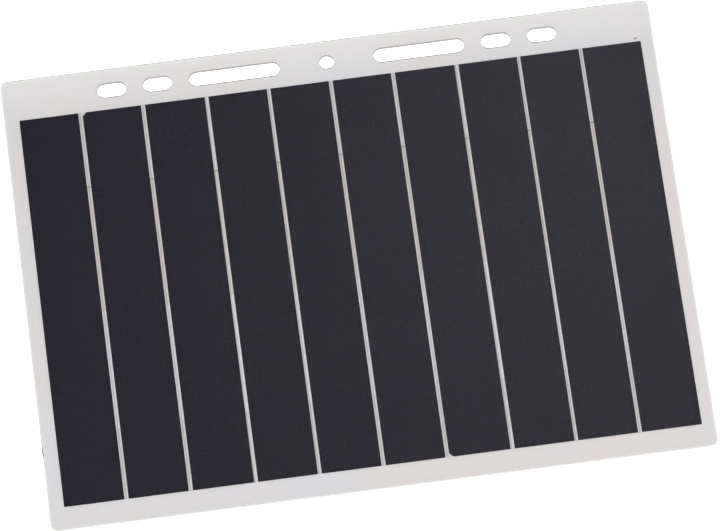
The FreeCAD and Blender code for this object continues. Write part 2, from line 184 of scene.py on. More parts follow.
@dataclass(frozen=True)
class EmbossedFilm(Finish):
    """Clear polyester film, pressed against a textured sheet in the laminator.

    It leaves everything under it in plain sight and lays a soft, finely grained sheen over it.
    """

    ior: float = 1.45
    strength: float = 0.35
    roughness: float = 0.34
    grain_mm: float = 0.55
    grain_depth_mm: float = 0.035
    patch_mm: float = 1.9
    patch_swing: float = 0.5

    def surface(self, tree: Tree) -> Socket:
        """Lays a clear shader under a thin gloss that only the outer faces have.

        Args:
            tree: The material's node tree.

        Returns:
            The shader's output.
        """
        place = add_node(tree, "ShaderNodeTexCoord").outputs["Object"]
        # The real emboss has about four pits to the millimetre: it's drawn twice as coarse to show.
        grain = add_node(tree, "ShaderNodeTexNoise", {
            "Vector": place, "Scale": 1 / (self.grain_mm * MM), "Detail": 2.0, "Roughness": 0.6})
        bump = add_node(tree, "ShaderNodeBump", {
            "Height": grain.outputs["Fac"], "Strength": 1.0, "Distance": self.grain_depth_mm * MM})
        normal = bump.outputs["Normal"]
        share = add_node(tree, "ShaderNodeFresnel", {"IOR": self.ior, "Normal": normal})
        inside = add_node(tree, "ShaderNodeNewGeometry").outputs["Backfacing"]
        outside = add_node(tree, "ShaderNodeMath", {0: 1.0, 1: inside}, operation="SUBTRACT")
        # The emboss runs deeper here and there, so the sheen is broken into small patches.
        patch = add_node(tree, "ShaderNodeTexNoise", {
            "Vector": place, "Scale": 1 / (self.patch_mm * MM), "Detail": 3.0, "Roughness": 0.7})
        swing = add_node(tree, "ShaderNodeMapRange", {
            "Value": patch.outputs["Fac"], "From Min": 0.3, "From Max": 0.7,
            "To Min": self.strength * (1 - self.patch_swing),
            "To Max": self.strength * (1 + self.patch_swing)})
        broken = add_node(tree, "ShaderNodeMath", {
            0: outside.outputs[0], 1: swing.outputs[0]}, operation="MULTIPLY")
        gloss = add_node(tree, "ShaderNodeMath", {
            0: share.outputs["Fac"], 1: broken.outputs[0]}, operation="MULTIPLY")
        clear = add_node(tree, "ShaderNodeBsdfTransparent", {"Color": WHITE})
        sheen = add_node(tree, "ShaderNodeBsdfGlossy", {
            "Color": WHITE, "Roughness": self.roughness, "Normal": normal})
        mix = add_node(tree, "ShaderNodeMixShader", {
            0: gloss.outputs[0], 1: clear.outputs[0], 2: sheen.outputs[0]})
        return mix.outputs[0]


@dataclass(frozen=True)
class CuredEncapsulant(Finish):
    """Clear cured encapsulant. It matches the film, hides nothing and has a faint warm tint."""

    tint: str = "#FEFEFE"

    def surface(self, tree: Tree) -> Socket:
        """Lays one clear shader."""
        return add_node(tree, "ShaderNodeBsdfTransparent", {"Color": linear(self.tint)}).outputs[0]


@dataclass(frozen=True)
class PunchedEdge(Finish):
    """Cut edge of a layer. It is rough, so that it reads as a dull line beside the satin face.

    The knife leaves the outline pale. The walls of the slots are painted a darker grey: painted
    shade, as the slots' own openings shade them.
    """

    colour: str
    roughness: float = 0.55
    grain_mm: float = 0.5
    grain_depth_mm: float = 0.02

    def surface(self, tree: Tree) -> Socket:
        """Lays a dull plastic with a faint, uneven grain.

        Args:
            tree: The material's node tree.

        Returns:
            The shader's output.
        """
        place = add_node(tree, "ShaderNodeTexCoord").outputs["Object"]
        grain = add_node(tree, "ShaderNodeTexNoise", {
            "Vector": place, "Scale": 1 / (self.grain_mm * MM), "Detail": 2.0})
        tone = add_node(tree, "ShaderNodeMapRange", {
            "Value": grain.outputs["Fac"], "To Min": 0.90, "To Max": 1.06})
        colour = add_node(tree, "ShaderNodeVectorMath", {
            0: linear(self.colour)[:3], "Scale": tone.outputs[0]}, operation="SCALE")
        bump = add_node(tree, "ShaderNodeBump", {
            "Height": grain.outputs["Fac"], "Strength": 0.5,
            "Distance": self.grain_depth_mm * MM})
        plastic = add_node(tree, "ShaderNodeBsdfPrincipled", {
            "Base Color": colour.outputs[0], "Roughness": self.roughness, "IOR": 1.49,
            "Normal": bump.outputs["Normal"]})
        return plastic.outputs[0]


@dataclass(frozen=True)
class PolyesterBoard(Finish):
    """White-filled polyester board, calendered. Satin and even, with a very faint drift of tint.

    Painted light: the outermost millimetre is painted paler, for light that enters at the cut edge,
    and the strip beyond the strap row, lit from the slots as well, is painted paler towards its
    edge.
    """

    half_length: float
    half_width: float
    corner: float
    strap_line: float
    colour: str = "#E5E2E2"
    cool: str = "#E4E2E5"
    warm: str = "#E7E2E0"
    # Painted light: the colour that the board is painted towards its edge beyond the strap row.
    painted_margin_light: str = "#F0EEED"
    painted_margin_light_start_mm: float = -8.0  # from the strap line
    painted_margin_light_end_mm: float = -2.0  # from the sheet's edge
    # Painted light: the rim's colour, for light that enters at the cut edge.
    rim: str = "#F0F0EE"
    painted_rim_light_mm: float = 1.0
    painted_rim_light_full_mm: float = 0.1
    drift_mm: float = 38.0
    fleck_mm: float = 0.6
    fleck_depth_mm: float = 0.01
    roughness: float = 0.5
    gloss: float = 0.3

    def painted_rim_light_share(self, tree: Tree, place: Socket) -> Socket:
        """Works out how close a point lies to the sheet's outline.

        Args:
            tree: The material's node tree.
            place: The point, in the frame of the part.

        Returns:
            The share of the rim's painted light: 1 at the outline and 0 within.
        """
        sided = add_node(tree, "ShaderNodeVectorMath", {0: place}, operation="ABSOLUTE")
        # Half sizes of the plan up to where its corners start. Height doesn't count.
        straight = (self.half_length - self.corner, self.half_width - self.corner, 10.0)
        past = add_node(tree, "ShaderNodeVectorMath", {
            0: sided.outputs[0], 1: straight}, operation="SUBTRACT")
        beyond = add_node(tree, "ShaderNodeVectorMath", {
            0: past.outputs[0], 1: (0, 0, 0)}, operation="MAXIMUM")
        length = add_node(tree, "ShaderNodeVectorMath", {0: beyond.outputs[0]}, operation="LENGTH")
        share = add_node(tree, "ShaderNodeMapRange", {
            "Value": length.outputs["Value"], "From Min": self.corner - self.painted_rim_light_mm * MM,
            "From Max": self.corner - self.painted_rim_light_full_mm * MM}, interpolation_type="SMOOTHSTEP")
        return share.outputs[0]

    def surface(self, tree: Tree) -> Socket:
        """Lays the tint drift, the painted light beyond the strap row and at the rim, and a fine
        satin grain.

        Args:
            tree: The material's node tree.

        Returns:
            The shader's output.
        """
        place = add_node(tree, "ShaderNodeTexCoord").outputs["Object"]
        drift = add_node(tree, "ShaderNodeTexNoise", {
            "Vector": place, "Scale": 1 / (self.drift_mm * MM), "Detail": 1.0})
        tints = add_node(tree, "ShaderNodeValToRGB", {"Fac": drift.outputs["Fac"]})
        ramp = tints.color_ramp.elements
        ramp[0].position, ramp[0].color = 0.36, linear(self.cool)
        ramp[1].position, ramp[1].color = 0.64, linear(self.warm)
        ramp.new(0.5).color = linear(self.colour)
        fleck = add_node(tree, "ShaderNodeTexNoise", {
            "Vector": place, "Scale": 1 / (self.fleck_mm * MM), "Detail": 2.0})
        tone = add_node(tree, "ShaderNodeMapRange", {
            "Value": fleck.outputs["Fac"], "To Min": 0.985, "To Max": 1.015})
        grained = add_node(tree, "ShaderNodeVectorMath", {
            0: tints.outputs["Color"], "Scale": tone.outputs[0]}, operation="SCALE")
        # Painted light: the board is painted paler from before the strap line to near its top edge.
        up = add_node(tree, "ShaderNodeSeparateXYZ", {0: place}).outputs["Y"]
        beyond = add_node(tree, "ShaderNodeMapRange", {
            "Value": up, "From Min": self.strap_line + self.painted_margin_light_start_mm * MM,
            "From Max": self.half_width + self.painted_margin_light_end_mm * MM})
        painted_margin_lit = add_node(tree, "ShaderNodeMix", {
            "Factor": beyond.outputs[0], 6: grained.outputs[0], 7: linear(self.painted_margin_light)},
            data_type="RGBA")
        # Painted light: the rim along the outline is painted paler.
        colour = add_node(tree, "ShaderNodeMix", {
            "Factor": self.painted_rim_light_share(tree, place), 6: painted_margin_lit.outputs[2], 7: linear(self.rim)},
            data_type="RGBA")
        bump = add_node(tree, "ShaderNodeBump", {
            "Height": fleck.outputs["Fac"], "Strength": 0.4,
            "Distance": self.fleck_depth_mm * MM})
        board = add_node(tree, "ShaderNodeBsdfPrincipled", {
            "Base Color": colour.outputs[2], "Roughness": self.roughness, "IOR": 1.5,
            "Specular IOR Level": self.gloss, "Normal": bump.outputs["Normal"]})
        return board.outputs[0]


@dataclass(frozen=True)
class TexturedSilicon(Finish):
    """Silicon wafer, etched and coated against reflection. Blue-black, with a fine glitter.

    The emboss of the film above breaks its low gloss into the same grain. Each strip differs a
    little in tone, and grains of the etch show as sparse paler specks.
    """

    pitch: float
    start: float
    colour: str = "#0A0914"
    pale: str = "#111020"
    speck: str = "#28272E"
    mottle_mm: float = 1.7
    grain_mm: float = 0.9
    grain_depth_mm: float = 0.08
    gloss: float = 0.30
    roughness: float = 0.34
    roughness_swing: float = 0.045
    speck_share: float = 0.8
    tone_swing: float = 0.04

    def surface(self, tree: Tree) -> Socket:
        """Lays the mottle, the specks and the tone of each strip.

        Args:
            tree: The material's node tree.

        Returns:
            The shader's output.
        """
        place = add_node(tree, "ShaderNodeTexCoord").outputs["Object"]
        mottle = add_node(tree, "ShaderNodeTexNoise", {
            "Vector": place, "Scale": 1 / (self.mottle_mm * MM), "Detail": 3.0, "Roughness": 0.65})
        spread = add_node(tree, "ShaderNodeMapRange", {
            "Value": mottle.outputs["Fac"], "From Min": 0.3, "From Max": 0.7})
        base = add_node(tree, "ShaderNodeMix", {
            "Factor": spread.outputs[0], 6: linear(self.colour), 7: linear(self.pale)},
            data_type="RGBA")
        # Etch grains are a few hundredths of a millimetre: they're drawn coarser so that they show.
        grain = add_node(tree, "ShaderNodeTexNoise", {
            "Vector": place, "Scale": 1 / (self.grain_mm * MM), "Detail": 1.0})
        specks = add_node(tree, "ShaderNodeMapRange", {
            "Value": grain.outputs["Fac"], "From Min": 0.62, "From Max": 0.74,
            "To Max": self.speck_share})
        flecked = add_node(tree, "ShaderNodeMix", {
            "Factor": specks.outputs[0], 6: base.outputs[2], 7: linear(self.speck)},
            data_type="RGBA")
        along = add_node(tree, "ShaderNodeSeparateXYZ", {0: place})
        shifted = add_node(tree, "ShaderNodeMath", {
            0: along.outputs["X"], 1: self.start}, operation="SUBTRACT")
        strip = add_node(tree, "ShaderNodeMath", {
            0: shifted.outputs[0], 1: self.pitch}, operation="SNAP")
        lot = add_node(
            tree, "ShaderNodeTexWhiteNoise", {"W": strip.outputs[0]}, noise_dimensions="1D")
        tone = add_node(tree, "ShaderNodeMapRange", {
            "Value": lot.outputs["Value"], "To Min": 1 - self.tone_swing,
            "To Max": 1 + self.tone_swing})
        colour = add_node(tree, "ShaderNodeVectorMath", {
            0: flecked.outputs[2], "Scale": tone.outputs[0]}, operation="SCALE")
        bump = add_node(tree, "ShaderNodeBump", {
            "Height": grain.outputs["Fac"], "Strength": 1.0, "Distance": self.grain_depth_mm * MM})
        rough = add_node(tree, "ShaderNodeMapRange", {
            "Value": spread.outputs[0], "To Min": self.roughness + self.roughness_swing,
            "To Max": self.roughness - self.roughness_swing})
        silicon = add_node(tree, "ShaderNodeBsdfPrincipled", {
            "Base Color": colour.outputs[0], "Roughness": rough.outputs[0],
            "Specular IOR Level": self.gloss, "Normal": bump.outputs["Normal"]})
        return silicon.outputs[0]


@dataclass(frozen=True)
class RolledFoil(Finish):
    """Tinned copper foil, rolled. A soft silver with faint lines along the roll.

    A thin darker line along the creased middle of its gap is painted shade.
    """

    colour: str
    painted_crease_shade: float = 0.72
    painted_crease_shade_mm: float = 0.5
    pitch_mm: float = 24.0
    middle_mm: float = 0.4
    line_mm: float = 0.18
    line_stretch: float = 0.03
    line_depth_mm: float = 0.01
    metallic: float = 0.45
    roughness: float = 0.55

    def surface(self, tree: Tree) -> Socket:
        """Lays a dull metal with roll lines that run along Y, and painted shade along the creased
        middle.

        Args:
            tree: The material's node tree.

        Returns:
            The shader's output.
        """
        place = add_node(tree, "ShaderNodeTexCoord").outputs["Object"]
        drawn = add_node(tree, "ShaderNodeMapping", {
            "Vector": place, "Scale": (1.0, self.line_stretch, 1.0)})
        lines = add_node(tree, "ShaderNodeTexNoise", {
            "Vector": drawn.outputs[0], "Scale": 1 / (self.line_mm * MM), "Detail": 2.0})
        tone = add_node(tree, "ShaderNodeMapRange", {
            "Value": lines.outputs["Fac"], "To Min": 0.93, "To Max": 1.07})
        # Painted shade: the colour darkens towards the creased middle of each gap.
        across = add_node(tree, "ShaderNodeSeparateXYZ", {0: place}).outputs["X"]
        middle, half = self.middle_mm * MM, self.pitch_mm * MM / 2
        within = add_node(tree, "ShaderNodeMath", {
            0: across, 1: middle + half, 2: middle - half}, operation="WRAP")
        off = add_node(tree, "ShaderNodeMath", {
            0: within.outputs[0], 1: middle}, operation="SUBTRACT")
        away = add_node(tree, "ShaderNodeMath", {0: off.outputs[0]}, operation="ABSOLUTE")
        painted_crease_darkening = add_node(tree, "ShaderNodeMapRange", {
            "Value": away.outputs[0], "From Max": self.painted_crease_shade_mm * MM, "To Min": self.painted_crease_shade,
            "To Max": 1.0}, interpolation_type="SMOOTHSTEP")
        both = add_node(tree, "ShaderNodeMath", {
            0: tone.outputs[0], 1: painted_crease_darkening.outputs[0]}, operation="MULTIPLY")
        colour = add_node(tree, "ShaderNodeVectorMath", {
            0: linear(self.colour)[:3], "Scale": both.outputs[0]}, operation="SCALE")
        bump = add_node(tree, "ShaderNodeBump", {
            "Height": lines.outputs["Fac"], "Strength": 0.3,
            "Distance": self.line_depth_mm * MM})
        foil = add_node(tree, "ShaderNodeBsdfPrincipled", {
            "Base Color": colour.outputs[0], "Metallic": self.metallic,
            "Roughness": self.roughness, "Normal": bump.outputs["Normal"]})
        return foil.outputs[0]


@dataclass(frozen=True)
class Moulding(Finish):
    """Moulded or cast plastic, rubber or resin. A fine tooth on its surface breaks up its gloss."""

    colour: str
    roughness: float
    grain_mm: float
    depth_mm: float
    mottle: float = 0.06
    roughness_swing: float = 0.06

    def surface(self, tree: Tree) -> Socket:
        """Lays one plastic whose colour, roughness and height follow the same grain.

        Args:
            tree: The material's node tree.

        Returns:
            The shader's output.
        """
        place = add_node(tree, "ShaderNodeTexCoord").outputs["Object"]
        grain = add_node(tree, "ShaderNodeTexNoise", {
            "Vector": place, "Scale": 1 / (self.grain_mm * MM), "Detail": 3.0, "Roughness": 0.6})
        tone = add_node(tree, "ShaderNodeMapRange", {
            "Value": grain.outputs["Fac"], "To Min": 1 - self.mottle, "To Max": 1 + self.mottle})
        colour = add_node(tree, "ShaderNodeVectorMath", {
            0: linear(self.colour)[:3], "Scale": tone.outputs[0]}, operation="SCALE")
        rough = add_node(tree, "ShaderNodeMapRange", {
            "Value": grain.outputs["Fac"], "To Min": self.roughness - self.roughness_swing,
            "To Max": self.roughness + self.roughness_swing})
        bump = add_node(tree, "ShaderNodeBump", {
            "Height": grain.outputs["Fac"], "Strength": 0.8, "Distance": self.depth_mm * MM})
        plastic = add_node(tree, "ShaderNodeBsdfPrincipled", {
            "Base Color": colour.outputs[0], "Roughness": rough.outputs[0], "IOR": 1.5,
            "Normal": bump.outputs["Normal"]})
        return plastic.outputs[0]


@dataclass(frozen=True)
class Plating(Finish):
    """Plated or drawn metal. Its gloss is broken by fine marks that run one way."""

    colour: str
    roughness: float
    mark_mm: float
    run: tuple[float, float, float] = (1.0, 1.0, 1.0)
    mark_depth_mm: float = 0.01
    roughness_swing: float = 0.08

    def surface(self, tree: Tree) -> Socket:
        """Lays one metal whose roughness and height follow the marks.

        Args:
            tree: The material's node tree.

        Returns:
            The shader's output.
        """
        place = add_node(tree, "ShaderNodeTexCoord").outputs["Object"]
        drawn = add_node(tree, "ShaderNodeMapping", {"Vector": place, "Scale": self.run})
        marks = add_node(tree, "ShaderNodeTexNoise", {
            "Vector": drawn.outputs[0], "Scale": 1 / (self.mark_mm * MM), "Detail": 3.0})
        tone = add_node(tree, "ShaderNodeMapRange", {
            "Value": marks.outputs["Fac"], "To Min": 0.92, "To Max": 1.06})
        colour = add_node(tree, "ShaderNodeVectorMath", {
            0: linear(self.colour)[:3], "Scale": tone.outputs[0]}, operation="SCALE")
        rough = add_node(tree, "ShaderNodeMapRange", {
            "Value": marks.outputs["Fac"], "To Min": self.roughness - self.roughness_swing,
            "To Max": self.roughness + self.roughness_swing})
        bump = add_node(tree, "ShaderNodeBump", {
            "Height": marks.outputs["Fac"], "Strength": 0.3,
            "Distance": self.mark_depth_mm * MM})
        metal = add_node(tree, "ShaderNodeBsdfPrincipled", {
            "Base Color": colour.outputs[0], "Metallic": 1.0, "Roughness": rough.outputs[0],
            "Normal": bump.outputs["Normal"]})
        return metal.outputs[0]


@dataclass(frozen=True)
class LitFloor(Finish):
    """Opal acrylic table, lit from below, so that it stays white under the sheet."""

    glow: float = 0.93
    colour: str = "#F4F4F4"

    def surface(self, tree: Tree) -> Socket:
        """Lays a matt white under an even glow.

        Args:
            tree: The material's node tree.

        Returns:
            The shader's output.
        """
        white = add_node(tree, "ShaderNodeBsdfDiffuse", {"Color": linear(self.colour)})
        light = add_node(tree, "ShaderNodeEmission", {"Color": WHITE, "Strength": self.glow})
        both = add_node(tree, "ShaderNodeAddShader", {0: white.outputs[0], 1: light.outputs[0]})
        return both.outputs[0]


class PaintedFoilSheen(Enum):
    """Tones of the foil lengths, as painted sheen: each length's tint stands in for the sheen
    that its own tilt catches, so the silvers differ a bit.
    """

    PLAIN = RolledFoil("Tinned copper foil, painted plain sheen", "#E1DEDD")
    GREY = RolledFoil("Tinned copper foil, painted grey sheen", "#E3E0E0")
    BEIGE = RolledFoil("Tinned copper foil, painted warm sheen", "#DFD9D5")
    COOL = RolledFoil("Tinned copper foil, painted cool sheen", "#E4E3E7")
    DULL = RolledFoil("Tinned copper foil, painted dull sheen", "#DDDADA")


# ---- Shapes ------------------------------------------------------------------------------------


@dataclass(frozen=True)
class Cut:
    """A rounded outline in plan, in metres: the sheet's own edge or one of its punched holes."""

    x: float
    y: float
    half_x: float
    half_y: float
    radius: float
    hole: bool = True
    steps: int = 10
    nick: Sequence[tuple[float, float]] = ()  # height and depth of each point of a knock at low X

    def ring(self, inset: float) -> Ring:
        """Gives the outline, moved into the material.

        Args:
            inset: How far the outline is moved, in metres.

        Returns:
            The outline's points, anticlockwise from the right end of its top side.
        """
        grow = inset if self.hole else -inset
        half_x, half_y, radius = self.half_x + grow, self.half_y + grow, self.radius + grow
        points: Ring = []
        for number, (sx, sy) in enumerate(((1, 1), (-1, 1), (-1, -1), (1, -1))):
            for step in range(self.steps + 1):
                angle = math.radians(90 * (number + step / self.steps))
                points.append((self.x + sx * (half_x - radius) + radius * math.cos(angle),
                               self.y + sy * (half_y - radius) + radius * math.sin(angle)))
            if number == 1:
                points += [(self.x - half_x + depth, y) for y, depth in self.nick]
        before = points[-1:] + points[:-1]
        return [p for p, q in zip(points, before) if math.dist(p, q) > TOUCHING]


def plate(
    cuts: Sequence[Cut], profile: Sequence[tuple[float, float]], edge: int = 0, punched: int = 0
) -> bmesh.types.BMesh:
    """Builds a closed plate with holes.

    Args:
        cuts: The outline and the holes in it.
        profile: Inset and height of each ring of the edge, from the bottom up.
        edge: Number of the finish that the wall of the outline wears.
        punched: Number of the finish that the walls of the holes wear.

    Returns:
        The plate as a new bmesh.
    """
    made = bmesh.new()
    rims: dict[int, list[bmesh.types.BMEdge]] = {0: [], len(profile) - 1: []}
    for cut in cuts:
        rings = [[made.verts.new((x, y, z)) for x, y in cut.ring(inset)] for inset, z in profile]
        for low, high in zip(rings, rings[1:]):
            around = zip(low, low[1:] + low[:1], high[1:] + high[:1], high)
            for corners in around:
                made.faces.new(corners).material_index = punched if cut.hole else edge
        for level, edges in rims.items():
            verts = rings[level]
            edges += [made.edges.get(pair) for pair in zip(verts, verts[1:] + verts[:1])]
    for edges in rims.values():
        bmesh.ops.triangle_fill(made, edges=edges, use_beauty=True)
    bmesh.ops.recalc_face_normals(made, faces=made.faces)
    return made


def block(
    made: bmesh.types.BMesh, columns: Sequence[tuple[float, float]], y0: float, y1: float, z0: float
) -> list[bmesh.types.BMFace]:
    """Adds a closed strip to a bmesh, with a top that may rise and fall along X.

    Args:
        made: The bmesh to add to.
        columns: X and top height of each cross line, from low X to high X.
        y0: Low end in Y.
        y1: High end in Y.
        z0: Height of the flat bottom.

    Returns:
        The strip's faces.
    """
    corner = {}
    for i, (x, top) in enumerate(columns):
        for j, y in enumerate((y0, y1)):
            corner[i, j, 0] = made.verts.new((x, y, z0))
            corner[i, j, 1] = made.verts.new((x, y, top))
    last = len(columns) - 1
    faces = []
    for i in range(last):
        for loop in (
            ((i, 0, 0), (i, 1, 0), (i + 1, 1, 0), (i + 1, 0, 0)),
            ((i, 0, 1), (i + 1, 0, 1), (i + 1, 1, 1), (i, 1, 1)),
            ((i, 0, 0), (i + 1, 0, 0), (i + 1, 0, 1), (i, 0, 1)),
            ((i, 1, 0), (i, 1, 1), (i + 1, 1, 1), (i + 1, 1, 0)),
        ):
            faces.append(made.faces.new([corner[key] for key in loop]))
    for i, order in ((0, (0, 1)), (last, (1, 0))):
        loop = ((i, order[0], 0), (i, order[0], 1), (i, order[1], 1), (i, order[1], 0))
        faces.append(made.faces.new([corner[key] for key in loop]))
    return faces


def slice_x(made: bmesh.types.BMesh, x: float, keep: int = 0, seam: int = 0) -> None:
    """Cuts a bmesh at one X, and may take one side away and close the cut.

    Args:
        made: The bmesh to cut.
        x: Where the cut is.
        keep: 1 keeps what is past the cut, -1 what is before it, and 0 both.
        seam: Number of the finish that the closed cut wears.
    """
    everything = made.verts[:] + made.edges[:] + made.faces[:]
    bmesh.ops.bisect_plane(
        made, geom=everything, dist=TOUCHING, plane_co=(x, 0, 0), plane_no=(1, 0, 0),
        clear_inner=keep > 0, clear_outer=keep < 0)
    if keep:
        rim = [edge for edge in made.edges if edge.is_boundary]
        for face in bmesh.ops.holes_fill(made, edges=rim, sides=0)["faces"]:
            face.material_index = seam


def settle(
    made: bmesh.types.BMesh, name: str, finishes: Iterable[Finish], smooth: float = 30.0
) -> bpy.types.Object:
    """Turns a bmesh into an object of the scene. Only its walls are shaded as curves.

    Args:
        made: The finished bmesh, which is freed.
        name: Name of the piece.
        finishes: Its finishes, in the order of its faces' material numbers.
        smooth: Largest angle, in degrees, that is still shaded as one curve.

    Returns:
        The object, at the origin of the frame.
    """
    made.normal_update()
    for face in made.faces:
        face.smooth = abs(face.normal.z) < 0.5
    mesh = bpy.data.meshes.new(name)
    made.to_mesh(mesh)
    made.free()
    mesh.set_sharp_from_angle(angle=math.radians(smooth))
    thing = bpy.data.objects.new(name, mesh)
    bpy.context.scene.collection.objects.link(thing)
    for finish in finishes:
        mesh.materials.append(finish.material())
    return thing


def prism(
    name: str, outline: Ring, levels: Sequence[tuple[float, float]], finish: Finish
) -> bpy.types.Object:
    """Builds a small closed prism.

    Args:
        name: Name of the piece.
        outline: Its outline at full size, anticlockwise.
        levels: Height of the bottom and the top, and the size of the outline there as a share.
        finish: Its finish.

    Returns:
        The object.
    """
    made = bmesh.new()
    x = sum(point[0] for point in outline) / len(outline)
    y = sum(point[1] for point in outline) / len(outline)
    low, high = ([made.verts.new((x + (u - x) * share, y + (v - y) * share, z)) for u, v in outline]
                 for z, share in levels)
    for corners in zip(low, low[1:] + low[:1], high[1:] + high[:1], high):
        made.faces.new(corners)
    made.faces.new(reversed(low))
    made.faces.new(high)
    return settle(made, name, [finish])


# ---- The object --------------------------------------------------------------------------------


@dataclass(frozen=True)
class Fold:
    """One gap that bends, and the stretch of the sheet whose layers are cut with it."""

    label: str
    x: float
    bodies: tuple[str, str]
    low: float
    high: float

    def bend(self, piece: bpy.types.Object, reach: float) -> None:
        """Bakes a finished piece's transform into its mesh. It doesn't bend the piece, and the
        reach is not used.
        """
        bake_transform(piece)


def fold_x(joint: dict[str, Any]) -> float:
    """Gives the X of a joint's axis, in metres."""
    return joint["pos_m"][0]


def middle_x(body: str) -> float:
    """Gives the X of the middle of a body's back sheet, in metres."""
    low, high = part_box("back_sheet_" + body.split("_")[-1])
    return (low.x + high.x) / 2


@dataclass
class Folds:
    """The sheet's gaps that bend. The full layers are cut between them, over a cell each time."""

    seams_mm: tuple[float, ...] = (-92.0, -56.0, -36.0, 12.0, 36.0, 56.0, 92.0)
    reach: float = 0.8 * MM
    column_shares: tuple[float, ...] = (-1.0, -0.6, -0.2, 0.2, 0.6, 1.0)

    def build(self) -> list[Fold]:
        """Lists the gaps from the lowest X up, with the bodies that meet at each.

        Returns:
            One fold for each joint of the frame.
        """
        joints = sorted(frame["joints"], key=fold_x)
        ends = [CAD_BOX[0].x - MM, *(s * MM for s in self.seams_mm), CAD_BOX[1].x + MM]
        folds = []
        for joint, low, high in zip(joints, ends, ends[1:]):
            pair = sorted((joint["parent"], joint["child"]), key=middle_x)
            folds.append(Fold(joint["name"].split("_")[-1], fold_x(joint), tuple(pair), low, high))
        return folds


@dataclass
class Laminate:
    """The three full layers of the sheet, with the strap row punched through them."""

    folds: list[Fold]
    reach: float
    columns: tuple[float, ...]
    corner: float = 3.0 * MM
    slot_half_width: float = 2.95 * MM
    long_slot: tuple[float, float] = (35.4 * MM, 17.4 * MM)
    short_slots: tuple[tuple[float, float], ...] = ((64.9 * MM, 5.6 * MM), (82.6 * MM, 5.6 * MM))
    hang_hole: float = 2.8 * MM
    strap_line_inset: float = 8.9 * MM
    # A knock on the left edge: how deep it is at each height.
    nick: tuple[tuple[float, float], ...] = (
        (-57.9 * MM, 0.0), (-58.6 * MM, 0.30 * MM), (-59.6 * MM, 0.22 * MM),
        (-60.8 * MM, 0.34 * MM), (-61.9 * MM, 0.45 * MM), (-62.6 * MM, 0.0))
    edge_break: float = 0.12 * MM
    film_break: float = 0.05 * MM
    skin: float = 0.02 * MM  # keeps the clear layer's faces off its neighbours' faces

    def cuts(self) -> list[Cut]:
        """Lists the sheet's outline and every punched hole.

        Returns:
            The outline first, then the holes.
        """
        low, high = CAD_BOX
        half_x, half_y = (high.x - low.x) / 2, (high.y - low.y) / 2
        y, half = high.y - self.strap_line_inset, self.slot_half_width
        found = [Cut(0, 0, half_x, half_y, self.corner, hole=False, nick=self.nick)]
        found.append(Cut(0, y, self.hang_hole, self.hang_hole, self.hang_hole))
        for side in (-1, 1):
            for x, half_length in (self.long_slot, *self.short_slots):
                found.append(Cut(side * x, y, half_length, half, half))
        return found

    def layer(
        self, name: str, profile: Sequence[tuple[float, float]], finishes: Sequence[Finish],
        edge: int = 0, punched: int = 0, seam: int = 0,
    ) -> None:
        """Builds one layer as a piece for each fold.

        Args:
            name: Name of the layer, as its CAD nodes have it.
            profile: Inset and height of each ring of the layer's edge, from the bottom up.
            finishes: The layer's finishes.
            edge: Number of the finish that the layer's outer edge wears.
            punched: Number of the finish that the walls of its holes wear.
            seam: Number of the finish between two pieces of the layer.
        """
        whole = plate(self.cuts(), profile, edge, punched)
        for fold in self.folds:
            part = whole.copy()
            if fold is not self.folds[0]:
                slice_x(part, fold.low, keep=1, seam=seam)
            if fold is not self.folds[-1]:
                slice_x(part, fold.high, keep=-1, seam=seam)
            for share in self.columns:
                slice_x(part, fold.x + share * self.reach)
            piece = settle(part, f"{name}_bend_{fold.label}", finishes)
            fold.bend(piece, self.reach)
            labels = [body.split("_")[-1] for body in fold.bodies]
            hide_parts(*(f"{name}_{label}" for label in labels))
        whole.free()
        LOG.info("%s: %d pieces", name, len(self.folds))

    def build(self) -> None:
        """Builds the film, the encapsulant and the back sheet."""
        film, clear, board = (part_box(f"{name}_middle") for name in (
            "front_film", "encapsulant", "back_sheet"))
        resin = CuredEncapsulant("Ethylene-vinyl acetate, cured clear")
        low, high = CAD_BOX
        white = PolyesterBoard(
            "Polyester board, calendered white", (high.x - low.x) / 2, (high.y - low.y) / 2,
            self.corner, high.y - self.strap_line_inset)
        self.layer(
            "front_film",
            ((0, film[0].z), (0, film[1].z - self.film_break), (self.film_break, film[1].z)),
            [EmbossedFilm("Polyester film, embossed clear"), resin], seam=1)
        self.layer(
            "encapsulant", ((0, clear[0].z + self.skin), (0, clear[1].z - self.skin)),
            [resin, PunchedEdge("Ethylene-vinyl acetate, trimmed edge", "#C9CAC7"),
             # The darker grey on the slot walls is painted shade.
             PunchedEdge("Ethylene-vinyl acetate, punched edge, painted shade", "#8F8D8A")],
            edge=1, punched=2)
        self.layer(
            "back_sheet",
            ((self.edge_break, board[0].z), (0, board[0].z + self.edge_break), (0, board[1].z)),
            [white, PunchedEdge("Polyester board, trimmed edge", "#CDCECB"),
             # The darker grey on the slot walls is painted shade.
             PunchedEdge("Polyester board, punched edge, painted shade", "#A3A19E")],
            edge=1, punched=2)


